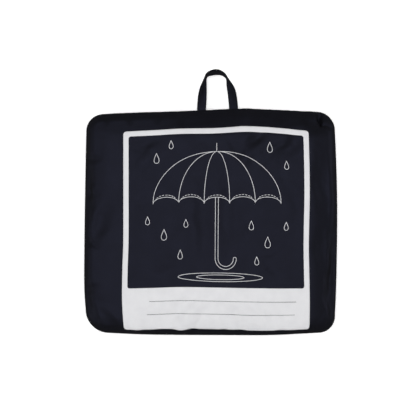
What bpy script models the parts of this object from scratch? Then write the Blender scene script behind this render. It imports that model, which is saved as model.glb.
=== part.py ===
"""A child's raincoat folded away in its own zipped pouch, lying on its back.

Metres, +Z up. The printed front faces up, the carrying loop points along +Y and the zip runs along the
top side, under the front's rolled edge. The origin lies on the surface that the pouch rests on, under the
middle of the whole, loop included.
"""

import math
from collections import namedtuple

import bmesh
import bpy
from mathutils import Matrix, Vector

MM = 0.001

# The pouch lies below the origin in Y, because the loop counts in the whole length.
POUCH_Y = -22.13 * MM
HALF_WIDTH = 137.5 * MM
HALF_LENGTH = 121.0 * MM
CORNER_RADIUS = {
    ("left", "top"): 18.0 * MM,
    ("right", "top"): 18.5 * MM,
    ("left", "bottom"): 22.0 * MM,
    ("right", "bottom"): 16.0 * MM,
}
CLOTH = 1.2 * MM
SEAM_GAP = 0.3 * MM
SEAM_Z = 16.0 * MM
HEM = 1.2 * MM

# How far each side swells past its straight line. Columns: place along the side, swell.
LEFT_SWELL = ((-121.0, -1.0), (-97.0, 0.9), (-74.0, 2.4), (-30.0, 2.4), (48.0, 1.3), (121.0, -0.2))
RIGHT_SWELL = ((-121.0, -1.0), (-71.0, 1.3), (8.0, 2.5), (60.0, 1.6), (121.0, -1.0))
TOP_SWELL = ((-137.5, -2.2), (-87.0, 0.1), (-33.0, 1.8), (33.0, 4.4), (99.0, 2.1), (137.5, 0.2))
BOTTOM_SWELL = ((-137.5, 0.0), (-87.0, 2.7), (-54.0, 3.5), (46.0, 4.05), (73.0, 3.7), (99.0, 2.4), (137.5, 0.5))

# The packed front stands this high, and falls away towards each side: how far, and over what run.
CROWN = 34.0 * MM
FRONT_ROUND = 10.0 * MM
Slope = namedtuple("Slope", "drop run")
SLOPES = {
    "top": Slope(7.0 * MM, 30.0 * MM),
    "bottom": Slope(2.0 * MM, 14.0 * MM),
    "left": Slope(3.0 * MM, 26.0 * MM),
    "right": Slope(5.0 * MM, 30.0 * MM),
}

# Soft folds of the front, in millimetres from the pouch's middle. A trough has a negative height.
Fold = namedtuple("Fold", "start end half_width height")
FOLDS = (
    Fold((52.0, 102.0), (50.0, 72.0), 13.0, -1.5),
    Fold((74.0, 76.0), (52.0, 46.0), 13.0, -1.3),
    Fold((98.0, 94.0), (84.0, 66.0), 12.0, -1.2),
    Fold((14.0, 108.0), (44.0, 124.0), 12.0, 1.3),
    Fold((-4.0, 40.0), (-4.0, -36.0), 14.0, -1.0),
    Fold((20.0, 44.0), (18.0, -40.0), 13.0, -0.9),
    Fold((102.0, 62.0), (100.0, -64.0), 12.0, -1.4),
    Fold((120.0, 54.0), (119.0, -30.0), 12.0, -1.6),
    Fold((-108.0, 26.0), (-118.0, -20.0), 12.0, -1.5),
    Fold((-8.0, -86.0), (-40.0, -118.0), 12.0, 1.2),
    Fold((10.0, -98.0), (34.0, -122.0), 12.0, -1.4),
    Fold((112.0, 118.0), (128.0, 108.0), 12.0, -2.6),
)

# The rolled top edge: the front curls under it to the zip, and comes back to the plain seam past each end.
ZIP_HALF = 105.8 * MM
ROLL_ANGLE = math.radians(50.0)
ROLL_HEIGHT = 4.9 * MM
ROLL_FULL_TO = 108.0 * MM
ROLL_GONE_AT = 124.0 * MM
BACK_ROUND = 12.0 * MM
BACK_LIP_Z = 4.0 * MM
WINDOW_HALF = 106.3 * MM
WINDOW_LOW_Z = 4.3 * MM

# Grid lines across a panel.
ROUND_LINES = 5
FRONT_LINES = (23, 20)
BACK_LINES = (12, 10)

# Zip
TAPE_THICKNESS = 1.0 * MM
UPPER_TAPE_Z = (12.6 * MM, 15.7 * MM)
LOWER_TAPE_Z = (4.6 * MM, 7.4 * MM)
CHAIN_Z = (7.8 * MM, 12.2 * MM)
CHAIN_THICKNESS = 1.6 * MM
CHAIN_PROUD = 0.2 * MM
CHAIN_END = 99.4 * MM
ZIP_LINES = 28
ZIP_MIDDLE_Z = 10.0 * MM
SLIDER_X = 98.0 * MM
SLIDER_LENGTH = 9.0 * MM
SLIDER_HEIGHT = 8.0 * MM
PLATE_EDGE = 0.4 * MM
JOIN_OVERLAP = 0.4 * MM
WELD = 0.001 * MM
OUTER_PLATE_INSET = (2.8 * MM, 4.0 * MM)
INNER_PLATE_INSET = (6.3 * MM, 7.3 * MM)
WEB_SIZE = (1.8 * MM, 3.4 * MM)
WEB_X = 3.2 * MM
BRIDGE_WIRE = 0.45 * MM
BRIDGE_HALF = 1.6 * MM
BRIDGE_INSET = 0.85 * MM

# Pull tab: its window's end bar lies under the bridge, on the tab's hinge.
PULL_INSET = 2.05 * MM
PULL_THICKNESS = 1.0 * MM
PULL_LENGTH = 24.0 * MM
PULL_HALF_HEIGHT = 2.5 * MM
PULL_BAR = 0.45 * MM
PULL_WINDOW_HALF = 1.5 * MM
PULL_WINDOW_LENGTH = 2.6 * MM
PULL_EDGE = 0.2 * MM

# Carrying loop: points on the middle line of its tape, in millimetres from the pouch's middle, and how far
# the tape is turned up on its edge there, in degrees.
LOOP_WIDTH = 10.0 * MM
LOOP_THICKNESS = 1.3 * MM
LoopPoint = namedtuple("LoopPoint", "x y z turn")
LOOP_LINE = (
    LoopPoint(-9.8, 119.8, 14.9, 0.0),
    LoopPoint(-9.8, 127.0, 14.8, 0.0),
    LoopPoint(-9.1, 137.5, 13.6, 22.0),
    LoopPoint(-8.2, 146.0, 12.2, 36.0),
    LoopPoint(-6.8, 153.0, 10.9, 62.0),
    LoopPoint(-4.6, 160.0, 9.6, 86.0),
    LoopPoint(0.4, 165.0, 8.6, 68.0),
    LoopPoint(6.8, 166.4, 8.2, 62.0),
    LoopPoint(12.4, 164.8, 8.6, 68.0),
    LoopPoint(18.2, 159.4, 9.6, 86.0),
    LoopPoint(21.8, 152.6, 10.9, 62.0),
    LoopPoint(23.9, 145.6, 12.2, 38.0),
    LoopPoint(24.8, 137.0, 13.6, 24.0),
    LoopPoint(25.2, 127.0, 14.8, 0.0),
    LoopPoint(25.2, 120.9, 14.9, 0.0),
)
LOOP_LINES = 48

# Folded coat
COAT_GAP = 1.6 * MM
COAT_INSET = 4.0 * MM
COAT_ZIP_INSET = 9.0 * MM
COAT_ROUND = 10.0 * MM
COAT_LAYERS = 4
LAYER_NOTCH = 1.5 * MM
COAT_CUTS = (13, 11)


def smooth_step(share):
    share = min(max(share, 0.0), 1.0)
    return share * share * (3.0 - 2.0 * share)


def read_off(table, place):
    """The second column at a place in the first, on a smooth curve through the rows."""
    last = len(table) - 2
    row = 0
    while row < last and place > table[row + 1][0]:
        row += 1
    (start, low), (end, high) = table[row], table[row + 1]
    before, after = table[max(row - 1, 0)], table[min(row + 2, last + 1)]
    span = end - start
    share = min(max((place - start) / span, 0.0), 1.0)
    rise_in = (high - before[1]) / (end - before[0]) * span
    rise_out = (after[1] - low) / (after[0] - start) * span
    return (
        low * (1.0 + 2.0 * share) * (1.0 - share) ** 2
        + rise_in * share * (1.0 - share) ** 2
        + high * share**2 * (3.0 - 2.0 * share)
        - rise_out * share**2 * (1.0 - share)
    )


def corner_radius(u, v):
    return CORNER_RADIUS["right" if u > 0 else "left", "top" if v > 0 else "bottom"]


def edge_inset(u, v):
    """How far a grid point lies in from the nearest side. The hem's line lies outside, so it is negative."""
    return min(HALF_WIDTH - abs(u), HALF_LENGTH - abs(v))


def on_outline(u, v, inset):
    """Moves a grid point to an inset from its own side, round the corners too."""
    radius = corner_radius(u, v)
    over_u = abs(u) - (HALF_WIDTH - radius)
    over_v = abs(v) - (HALF_LENGTH - radius)
    if min(over_u, over_v) > 0.0:
        shrink = (radius - inset) / math.hypot(over_u, over_v)
        over_u, over_v = over_u * shrink, over_v * shrink
    elif over_u > over_v:
        over_u = radius - inset
    else:
        over_v = radius - inset
    return (
        math.copysign(HALF_WIDTH - radius + over_u, u),
        math.copysign(HALF_LENGTH - radius + over_v, v),
    )


def in_world(u, v, z):
    """A point of the plain outline, swollen to the packed one and set in the object's own frame."""
    side = RIGHT_SWELL if u > 0 else LEFT_SWELL
    end = TOP_SWELL if v > 0 else BOTTOM_SWELL
    sideways = read_off(side, v / MM) * MM * (u / HALF_WIDTH) ** 2
    endways = read_off(end, u / MM) * MM * (v / HALF_LENGTH) ** 2
    x = u + sideways * math.copysign(1.0, u)
    y = v + endways * math.copysign(1.0, v)
    return Vector((x, y + POUCH_Y, z))


def roll_share(u, v):
    """1 along the zip, where the front's edge rolls right under, down to 0 at the plain seams."""
    if v < 0.0 or HALF_LENGTH - v > HALF_WIDTH - abs(u):
        return 0.0
    return 1.0 - smooth_step((abs(u) - ROLL_FULL_TO) / (ROLL_GONE_AT - ROLL_FULL_TO))


def seam_inset(roll):
    """How far in from the outline the front's rim, and what it is sewn to, lie."""
    angle = ROLL_ANGLE * roll
    return FRONT_ROUND * (1.0 - math.cos(angle)) + HEM * math.sin(angle)


def fold_height(fold, u, v):
    """A soft ridge or trough along a line, strongest in the middle of it."""
    start, end = Vector(fold.start) * MM, Vector(fold.end) * MM
    along = end - start
    point = Vector((u, v)) - start
    share = point.dot(along) / along.length_squared
    nearest = min(max(share, 0.0), 1.0)
    away = (point - along * nearest).length / (fold.half_width * MM)
    return fold.height * MM * max(0.0, 1.0 - away * away) ** 2


def crown_height(u, v):
    """How high the front stands here before its edge rounds down."""
    height = CROWN
    for side, distance in (
        ("top", HALF_LENGTH - v),
        ("bottom", HALF_LENGTH + v),
        ("right", HALF_WIDTH - u),
        ("left", HALF_WIDTH + u),
    ):
        slope = SLOPES[side]
        height -= slope.drop * (1.0 - smooth_step(distance / slope.run))
    return height + sum(fold_height(fold, u, v) for fold in FOLDS)


def front_point(u, v):
    inset = edge_inset(u, v)
    roll = roll_share(u, v)
    turned = ROLL_ANGLE * roll
    widest_z = SEAM_Z + SEAM_GAP / 2 + ROLL_HEIGHT * math.sin(turned) + HEM * math.cos(turned)
    if inset < 0.0:
        inset = seam_inset(roll)
        z = SEAM_Z + SEAM_GAP / 2
    elif inset < FRONT_ROUND:
        lifted = math.acos(1.0 - inset / FRONT_ROUND)
        angle = lifted * (1.0 + turned / (math.pi / 2)) - turned
        inset = FRONT_ROUND * (1.0 - math.cos(angle))
        rise = crown_height(*on_outline(u, v, inset)) - widest_z if angle > 0.0 else ROLL_HEIGHT
        z = widest_z + rise * math.sin(angle)
    else:
        z = crown_height(*on_outline(u, v, inset))
    return in_world(*on_outline(u, v, inset), z)


def back_point(u, v):
    inset = edge_inset(u, v)
    roll = roll_share(u, v)
    lip_z = SEAM_Z - HEM + (BACK_LIP_Z - SEAM_Z + HEM) * roll
    z = 0.0
    if inset < 0.0:
        inset = seam_inset(roll)
        z = SEAM_Z - SEAM_GAP / 2
    elif inset < BACK_ROUND:
        angle = math.acos(1.0 - inset / BACK_ROUND)
        inset = seam_inset(roll) + BACK_ROUND * (1.0 - math.cos(angle))
        z = lip_z * (1.0 - math.sin(angle))
    return in_world(*on_outline(u, v, inset), z)


def coat_point(across, along, level):
    """A point of the folded coat: level runs from -1 on its underside to 1 on top."""
    u, v = across * HALF_WIDTH, along * HALF_LENGTH
    round_in = COAT_ROUND * (1.0 - math.sqrt(max(0.0, 1.0 - level * level)))
    layer = COAT_LAYERS * math.pi * (level + 1.0) / 2.0
    notch = LAYER_NOTCH * (1.0 - abs(math.sin(layer)))
    margin = COAT_ZIP_INSET if HALF_LENGTH - v < HALF_WIDTH - abs(u) else COAT_INSET
    rim = margin + round_in + notch
    inset = rim + edge_inset(u, v) * (1.0 - rim / HALF_LENGTH)
    u, v = on_outline(u, v, inset)
    low = CLOTH + COAT_GAP / 2
    high = crown_height(u, v) - CLOTH - COAT_GAP
    return in_world(u, v, low + (high - low) * (level + 1.0) / 2.0)


def lines_across(half, rounded, count):
    """Grid lines over half a panel and back: the hem, close lines over the round edge, even ones between."""
    edge = [half + HEM]
    for line in range(ROUND_LINES + 1):
        edge.append(half - rounded * (1.0 - math.cos(math.pi / 2 * line / ROUND_LINES)))
    inner = edge[-1]
    even = [inner * (2.0 * line / count - 1.0) for line in range(1, count)]
    return [-place for place in edge] + even + edge[::-1]


def finish(name, rgb, roughness, metallic=0.0):
    material = bpy.data.materials.new(name)
    material.use_nodes = True
    shader = material.node_tree.nodes["Principled BSDF"]
    shader.inputs["Base Color"].default_value = (*rgb, 1.0)
    shader.inputs["Roughness"].default_value = roughness
    shader.inputs["Metallic"].default_value = metallic
    return material


def add_object(name, data, collection, material=None):
    obj = bpy.data.objects.new(name, data)
    collection.objects.link(obj)
    if material:
        data.materials.append(material)
    return obj


def add_box(name, size, centre, collection, material=None):
    shape = bmesh.new()
    bmesh.ops.create_cube(shape, size=1.0)
    place = Matrix.Translation(centre) @ Matrix.Diagonal((*size, 1.0))
    bmesh.ops.transform(shape, matrix=place, verts=shape.verts)
    mesh = bpy.data.meshes.new(name)
    shape.to_mesh(mesh)
    shape.free()
    return add_object(name, mesh, collection, material)


def make_cutter(obj):
    obj.hide_render = True
    obj.display_type = "WIRE"


def add_sheet(name, columns, rows, point, collection, material, flip=False):
    """A flat grid of cloth with each crossing of its lines moved to its place on the piece."""
    shape = bmesh.new()
    bmesh.ops.create_grid(shape, x_segments=len(columns) - 1, y_segments=len(rows) - 1, size=1.0)
    for vert in shape.verts:
        column = round((vert.co.x + 1.0) / 2.0 * (len(columns) - 1))
        row = round((vert.co.y + 1.0) / 2.0 * (len(rows) - 1))
        vert.co = point(columns[column], rows[row])
    if flip:
        bmesh.ops.reverse_faces(shape, faces=shape.faces)
    mesh = bpy.data.meshes.new(name)
    shape.to_mesh(mesh)
    shape.free()
    mesh.shade_smooth()
    return add_object(name, mesh, collection, material)


def add_wall(obj, thickness, offset=-1.0):
    wall = obj.modifiers.new("Cloth wall", "SOLIDIFY")
    wall.thickness = thickness
    wall.offset = offset
    wall.use_even_offset = True


def evenly(start, end, count):
    return [start + (end - start) * step / count for step in range(count + 1)]


def build_panels(parts, cutters, cloth):
    columns = lines_across(HALF_WIDTH, FRONT_ROUND, FRONT_LINES[0])
    rows = lines_across(HALF_LENGTH, FRONT_ROUND, FRONT_LINES[1])
    front = add_sheet("front_panel", columns, rows, front_point, parts, cloth)
    add_wall(front, CLOTH)

    columns = lines_across(HALF_WIDTH, BACK_ROUND, BACK_LINES[0])
    rows = lines_across(HALF_LENGTH, BACK_ROUND, BACK_LINES[1])
    back = add_sheet("back_panel", columns, rows, back_point, parts, cloth, flip=True)
    add_wall(back, CLOTH)

    size = Vector((2 * WINDOW_HALF, 4 * BACK_ROUND, 2 * SEAM_Z))
    centre = in_world(0.0, HALF_LENGTH, WINDOW_LOW_Z + size.z / 2)
    cutter = add_box("zip_window", size, centre, cutters)
    make_cutter(cutter)
    cut = back.modifiers.new("Zip window", "BOOLEAN")
    cut.operation = "DIFFERENCE"
    cut.object = cutter


def build_coat(parts, cloth):
    """The coat's hidden layers as one block: a cube cut into a grid, then shaped to the pouch's inside."""
    block = bmesh.new()
    bmesh.ops.create_cube(block, size=2.0)
    for axis, cuts in enumerate((*COAT_CUTS, 2 * COAT_LAYERS - 1)):
        parallel = []
        for edge in block.edges:
            run = edge.verts[1].co - edge.verts[0].co
            if abs(run[axis]) > run.length / 2:
                parallel.append(edge)
        bmesh.ops.subdivide_edges(block, edges=parallel, cuts=cuts, use_grid_fill=True)
    for vert in block.verts:
        vert.co = coat_point(*vert.co)
    mesh = bpy.data.meshes.new("folded_coat")
    block.to_mesh(mesh)
    block.free()
    mesh.shade_smooth()
    add_object("folded_coat", mesh, parts, cloth)


def build_zip_band(parts, tape, teeth):
    def strip(name, heights, inset, thickness, end, material):
        def point(u, z):
            return in_world(u, HALF_LENGTH - inset, z)

        columns = evenly(-ZIP_HALF, end, ZIP_LINES)
        piece = add_sheet(name, columns, heights, point, parts, material, flip=True)
        add_wall(piece, thickness)

    seam = seam_inset(1.0)
    strip("zip_tape_upper", UPPER_TAPE_Z, seam, TAPE_THICKNESS, ZIP_HALF, tape)
    strip("zip_tape_lower", LOWER_TAPE_Z, seam, TAPE_THICKNESS, ZIP_HALF, tape)
    strip("zip_chain", CHAIN_Z, seam - CHAIN_PROUD, CHAIN_THICKNESS, CHAIN_END, teeth)


def slider_frame():
    """Where the slider sits: X along the zip, Y out of the pouch, its origin on the outline."""
    here = in_world(SLIDER_X, HALF_LENGTH, ZIP_MIDDLE_Z)
    ahead = in_world(SLIDER_X + SLIDER_LENGTH, HALF_LENGTH, ZIP_MIDDLE_Z)
    run = ahead - here
    return here, math.atan2(run.y, run.x)


def build_slider(parts, cutters, metal):
    """Two plates with the chain between them, a web at the nose, and a wire bridge on the outer plate."""
    here, turn = slider_frame()

    def box(name, x, insets, size_x, size_z, collection):
        size = (size_x, insets[1] - insets[0], size_z)
        obj = add_box(name, size, (x, -(insets[0] + insets[1]) / 2, 0.0), collection, metal)
        obj.location = here
        obj.rotation_euler.z = turn
        return obj

    slider = box("zip_slider", 0.0, OUTER_PLATE_INSET, SLIDER_LENGTH, SLIDER_HEIGHT, parts)
    rounded = slider.modifiers.new("Rounded plate", "BEVEL")
    rounded.width = PLATE_EDGE
    rounded.segments = 2
    through = (OUTER_PLATE_INSET[1] - JOIN_OVERLAP, INNER_PLATE_INSET[0] + JOIN_OVERLAP)
    joined = [
        box("slider_inner_plate", 0.0, INNER_PLATE_INSET, SLIDER_LENGTH, SLIDER_HEIGHT, cutters),
        box("slider_web", WEB_X, through, *WEB_SIZE, cutters),
        build_bridge(cutters, here, turn),
    ]
    for piece in joined:
        make_cutter(piece)
        join = slider.modifiers.new(piece.name, "BOOLEAN")
        join.operation = "UNION"
        join.object = piece


def build_bridge(cutters, here, turn):
    """A staple of wire that stands on the outer plate, its bar along the zip."""
    wire = bpy.data.curves.new("slider_bridge", "CURVE")
    wire.dimensions = "3D"
    wire.bevel_depth = BRIDGE_WIRE
    wire.bevel_resolution = 2
    wire.use_fill_caps = True
    foot = -OUTER_PLATE_INSET[0] - JOIN_OVERLAP
    bar = -BRIDGE_INSET
    route = ((-BRIDGE_HALF, foot), (-BRIDGE_HALF, bar), (BRIDGE_HALF, bar), (BRIDGE_HALF, foot))
    spline = wire.splines.new("POLY")
    spline.points.add(len(route) - 1)
    for point, (x, y) in zip(spline.points, route):
        point.co = (x, y, 0.0, 1.0)
    curve = add_object("slider_bridge_wire", wire, cutters)
    graph = bpy.context.evaluated_depsgraph_get()
    mesh = bpy.data.meshes.new_from_object(curve.evaluated_get(graph))
    bpy.data.objects.remove(curve)
    shape = bmesh.new()
    shape.from_mesh(mesh)
    bmesh.ops.remove_doubles(shape, verts=shape.verts, dist=WELD)
    shape.to_mesh(mesh)
    shape.free()
    bridge = add_object("slider_bridge", mesh, cutters)
    bridge.location = here
    bridge.rotation_euler.z = turn
    return bridge


def round_end(centre_x, radius, start, end, count=8):
    """Points along an arc about a centre on the tab's middle line, angles in degrees."""
    points = []
    for angle in evenly(start, end, count):
        turn = math.radians(angle)
        points.append((centre_x + radius * math.cos(turn), radius * math.sin(turn)))
    return points


def build_pull(parts, metal):
    """A flat tab whose windowed end passes under the slider's bridge."""
    here, turn = slider_frame()
    outline = bpy.data.curves.new("zip_pull", "CURVE")
    outline.dimensions = "2D"
    outline.fill_mode = "BOTH"
    outline.extrude = PULL_THICKNESS / 2
    tip = round_end(-PULL_LENGTH + PULL_HALF_HEIGHT, PULL_HALF_HEIGHT, 90.0, 270.0)
    corners = [(PULL_BAR, -PULL_HALF_HEIGHT), (PULL_BAR, PULL_HALF_HEIGHT)]
    window = [
        (-PULL_BAR, -PULL_WINDOW_HALF),
        (-PULL_BAR, PULL_WINDOW_HALF),
        (-PULL_WINDOW_LENGTH, PULL_WINDOW_HALF),
        (-PULL_WINDOW_LENGTH, -PULL_WINDOW_HALF),
    ]
    for route in (corners + tip, window):
        spline = outline.splines.new("POLY")
        spline.points.add(len(route) - 1)
        spline.use_cyclic_u = True
        for point, (x, y) in zip(spline.points, route):
            point.co = (x, y, 0.0, 1.0)
    pull = add_object("zip_pull", outline, parts, metal)
    weld = pull.modifiers.new("Closed caps", "WELD")
    weld.merge_threshold = WELD
    edge = pull.modifiers.new("Soft edge", "BEVEL")
    edge.width = PULL_EDGE
    edge.segments = 2
    edge.limit_method = "ANGLE"
    in_zip = Matrix.Translation(here) @ Matrix.Rotation(turn, 4, "Z")
    hinge = in_zip @ Matrix.Translation((0.0, -PULL_INSET, 0.0))
    pull.matrix_world = hinge @ Matrix.Rotation(math.pi / 2, 4, "X")


def build_loop(parts, tape):
    """A flat tape that turns on its edge as it bends round, and lies flat again at its sewn ends."""

    def on_line(share):
        """The middle line at a share of its points: its place, then its turn."""
        place = share * (len(LOOP_LINE) - 1)
        row = min(int(place), len(LOOP_LINE) - 2)
        near = [Vector(LOOP_LINE[min(max(row + step, 0), len(LOOP_LINE) - 1)]) for step in (-1, 0, 1, 2)]
        t = place - row
        found = 0.5 * (
            2.0 * near[1]
            + (near[2] - near[0]) * t
            + (2.0 * near[0] - 5.0 * near[1] + 4.0 * near[2] - near[3]) * t**2
            + (3.0 * near[1] - near[0] - 3.0 * near[2] + near[3]) * t**3
        )
        return found.xyz * MM, math.radians(found.w)

    def point(share, side):
        here, turned = on_line(share)
        step = 0.5 / LOOP_LINES
        run = on_line(min(share + step, 1.0))[0] - on_line(max(share - step, 0.0))[0]
        across = run.cross(Vector((0.0, 0.0, 1.0))).normalized()
        up = across.cross(run).normalized()
        edge = across * math.cos(turned) + up * math.sin(turned)
        return here + edge * side * LOOP_WIDTH / 2 + Vector((0.0, POUCH_Y, 0.0))

    loop = add_sheet("carry_loop", evenly(0.0, 1.0, LOOP_LINES), (-1.0, 0.0, 1.0), point, parts, tape)
    add_wall(loop, LOOP_THICKNESS, offset=0.0)


def main():
    for obj in list(bpy.data.objects):
        bpy.data.objects.remove(obj)
    parts = bpy.data.collections.new("packed_raincoat")
    cutters = bpy.data.collections.new("cutters")
    for collection in (parts, cutters):
        bpy.context.scene.collection.children.link(collection)

    cloth = finish("coated navy cloth", (0.014, 0.016, 0.027), 0.5)
    tape = finish("navy tape", (0.011, 0.012, 0.017), 0.7)
    teeth = finish("black zip teeth", (0.008, 0.008, 0.010), 0.35)
    metal = finish("blackened slider", (0.02, 0.02, 0.022), 0.3, 0.9)

    build_panels(parts, cutters, cloth)
    build_coat(parts, cloth)
    build_zip_band(parts, tape, teeth)
    build_slider(parts, cutters, metal)
    build_pull(parts, metal)
    build_loop(parts, tape)


main()
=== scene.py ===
"""A child's raincoat folded away in its own zipped pouch: cloth, print, zip, loop and light."""

import math
import random
from bisect import bisect_right
from collections import namedtuple

import bmesh
import bpy
import numpy as np
from mathutils import Matrix, Vector


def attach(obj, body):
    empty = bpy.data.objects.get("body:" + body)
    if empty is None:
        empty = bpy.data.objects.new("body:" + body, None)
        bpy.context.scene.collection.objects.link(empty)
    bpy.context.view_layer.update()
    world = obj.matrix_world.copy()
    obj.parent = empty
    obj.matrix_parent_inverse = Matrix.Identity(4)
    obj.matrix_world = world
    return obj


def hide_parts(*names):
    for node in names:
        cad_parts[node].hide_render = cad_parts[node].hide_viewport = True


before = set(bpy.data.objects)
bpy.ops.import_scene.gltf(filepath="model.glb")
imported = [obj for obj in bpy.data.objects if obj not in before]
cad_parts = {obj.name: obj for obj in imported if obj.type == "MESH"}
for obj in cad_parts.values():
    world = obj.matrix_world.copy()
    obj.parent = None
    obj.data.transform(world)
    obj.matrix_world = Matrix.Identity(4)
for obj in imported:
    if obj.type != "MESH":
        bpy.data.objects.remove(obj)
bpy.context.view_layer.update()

# ----------------------------------------------
# Front of the pouch. One piece of navy nylon taffeta, waterproofed on its inside. It is cut flat,
# laid over the folded coat with all that is printed on it, turned down all round to a plain seam
# at half height, and rolled under to the zip along the top.
MM = 0.001
POUCH_Y = -22.13 * MM
HALF_WIDTH = 137.5 * MM
HALF_LENGTH = 121.0 * MM
CORNER_RADIUS = {
    ("left", "top"): 18.0 * MM,
    ("right", "top"): 18.5 * MM,
    ("left", "bottom"): 22.0 * MM,
    ("right", "bottom"): 16.0 * MM,
}
SEAM_Z = 16.0 * MM
HEM = 1.2 * MM
SEAM_TUCK = 1.6 * MM
SEAM_OPEN = 0.05 * MM

# How far each side swells past its straight line, in millimetres. Columns: place along the side,
# swell.
LEFT_SWELL = ((-121, -1), (-97, 0.9), (-74, 2.4), (-30, 2.4), (48, 1.3), (121, -0.2))
RIGHT_SWELL = ((-121, -1), (-71, 1.3), (8, 2.5), (60, 1.6), (121, -1))
TOP_SWELL = ((-137.5, -2.2), (-87, 0.1), (-33, 1.8), (33, 4.4), (99, 2.1), (137.5, 0.2))
BOTTOM_SWELL = (
    (-137.5, 0), (-87, 2.7), (-54, 3.5), (46, 4.05), (73, 3.7), (99, 2.4), (137.5, 0.5),
)

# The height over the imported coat, and the run over which it falls away towards each side. Columns
# of a drop, in millimetres: place along the side, drop.
CROWN = 34.0 * MM
FRONT_ROUND = 10.0 * MM
Slope = namedtuple("Slope", "run drop")
SLOPES = {
    "top": Slope(30.0 * MM, ((-137.5, 2.6), (-60, 3.4), (-20, 6.6), (60, 7.6), (137.5, 7))),
    "bottom": Slope(
        18.0 * MM,
        ((-137.5, 2.4), (-50, 2.8), (-14, 6.4), (42, 6.6), (66, 3.2), (137.5, 2.4)),
    ),
    "left": Slope(
        26.0 * MM,
        ((-121, 2), (-60, 0.8), (-20, 0.8), (30, 2.4), (80, 2.4), (121, 0.6)),
    ),
    "right": Slope(30.0 * MM, ((-121, 5), (0, 5), (121, 4))),
}

# The rolled edge over the zip.
ROLL_ANGLE = math.radians(50.0)
ROLL_HEIGHT = 4.9 * MM
ROLL_FULL_TO = 108.0 * MM
ROLL_GONE_AT = 124.0 * MM


def smooth_step(share):
    share = min(max(share, 0.0), 1.0)
    return share * share * (3.0 - 2.0 * share)


def read_off(table, place):
    """The second column at a place in the first, on a smooth curve through the rows."""
    last = len(table) - 2
    row = 0
    while row < last and place > table[row + 1][0]:
        row += 1
    (start, low), (end, high) = table[row], table[row + 1]
    before, after = table[max(row - 1, 0)], table[min(row + 2, last + 1)]
    span = end - start
    share = min(max((place - start) / span, 0.0), 1.0)
    rise_in = (high - before[1]) / (end - before[0]) * span
    rise_out = (after[1] - low) / (after[0] - start) * span
    return (
        low * (1.0 + 2.0 * share) * (1.0 - share) ** 2
        + rise_in * share * (1.0 - share) ** 2
        + high * share**2 * (3.0 - 2.0 * share)
        - rise_out * share**2 * (1.0 - share)
    )


def edge_inset(u, v):
    return min(HALF_WIDTH - abs(u), HALF_LENGTH - abs(v))


def on_outline(u, v, inset):
    """Moves a plan point to an inset from its own side, round the corners too."""
    radius = CORNER_RADIUS["right" if u > 0 else "left", "top" if v > 0 else "bottom"]
    over_u = abs(u) - (HALF_WIDTH - radius)
    over_v = abs(v) - (HALF_LENGTH - radius)
    if min(over_u, over_v) > 0.0:
        shrink = (radius - inset) / math.hypot(over_u, over_v)
        over_u, over_v = over_u * shrink, over_v * shrink
    elif over_u > over_v:
        over_u = radius - inset
    else:
        over_v = radius - inset
    return (
        math.copysign(HALF_WIDTH - radius + over_u, u),
        math.copysign(HALF_LENGTH - radius + over_v, v),
    )


def in_world(u, v, z):
    side = RIGHT_SWELL if u > 0 else LEFT_SWELL
    end = TOP_SWELL if v > 0 else BOTTOM_SWELL
    sideways = read_off(side, v / MM) * MM * (u / HALF_WIDTH) ** 2
    endways = read_off(end, u / MM) * MM * (v / HALF_LENGTH) ** 2
    x = u + sideways * math.copysign(1.0, u)
    y = v + endways * math.copysign(1.0, v)
    return Vector((x, y + POUCH_Y, z))


def roll_along(u):
    """1 along the zip, where the edge rolls right under, and 0 at the plain seams beside it."""
    return 1.0 - smooth_step((abs(u) - ROLL_FULL_TO) / (ROLL_GONE_AT - ROLL_FULL_TO))


def roll_share(u, v):
    """The roll at any place by the edge. The sides and the bottom have none."""
    if v < 0.0 or HALF_LENGTH - v > HALF_WIDTH - abs(u):
        return 0.0
    return roll_along(u)


def crown_height(u, v):
    height = CROWN
    for side, distance, along in (
        ("top", HALF_LENGTH - v, u),
        ("bottom", HALF_LENGTH + v, u),
        ("right", HALF_WIDTH - u, v),
        ("left", HALF_WIDTH + u, v),
    ):
        slope = SLOPES[side]
        if distance < slope.run:
            drop = read_off(slope.drop, along / MM) * MM
            height -= drop * (1.0 - smooth_step(distance / slope.run))
    return height


def plan_of(cloth, half, rounded):
    """The plan coordinate of a distance along the cloth from its middle, over its edge too."""
    past = abs(cloth) - (half - rounded)
    if past <= 0.0:
        return cloth
    if past < rounded * math.pi / 2:
        plan = half - rounded + rounded * math.sin(past / rounded)
    else:
        plan = half + past - rounded * math.pi / 2
    return math.copysign(plan, cloth)


def front_surface(along_x, along_y):
    """The front's outer face at a place on the flat cloth, its creases left out."""
    u = plan_of(along_x, HALF_WIDTH, FRONT_ROUND)
    v = plan_of(along_y, HALF_LENGTH, FRONT_ROUND)
    inset = edge_inset(u, v)
    if inset >= FRONT_ROUND:
        u, v = on_outline(u, v, inset)
        return in_world(u, v, crown_height(u, v))
    turned = ROLL_ANGLE * roll_share(u, v)
    rim_z = SEAM_Z + HEM * math.cos(turned)
    widest_z = rim_z + ROLL_HEIGHT * math.sin(turned)
    if inset < 0.0:
        lip = math.pi / 2 * min(-inset / HEM, 1.0)
        tucked = HEM * math.sin(turned) * math.sin(lip) + SEAM_TUCK * (1.0 - math.cos(lip))
        inset = FRONT_ROUND * (1.0 - math.cos(turned)) + tucked
        z = rim_z - (rim_z - SEAM_Z - SEAM_OPEN) * math.sin(lip)
    else:
        angle = math.acos(1.0 - inset / FRONT_ROUND) * (1.0 + turned / (math.pi / 2)) - turned
        inset = FRONT_ROUND * (1.0 - math.cos(angle))
        rise = crown_height(*on_outline(u, v, inset)) - widest_z if angle > 0.0 else ROLL_HEIGHT
        z = widest_z + rise * math.sin(angle)
    return in_world(*on_outline(u, v, inset), z)


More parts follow.
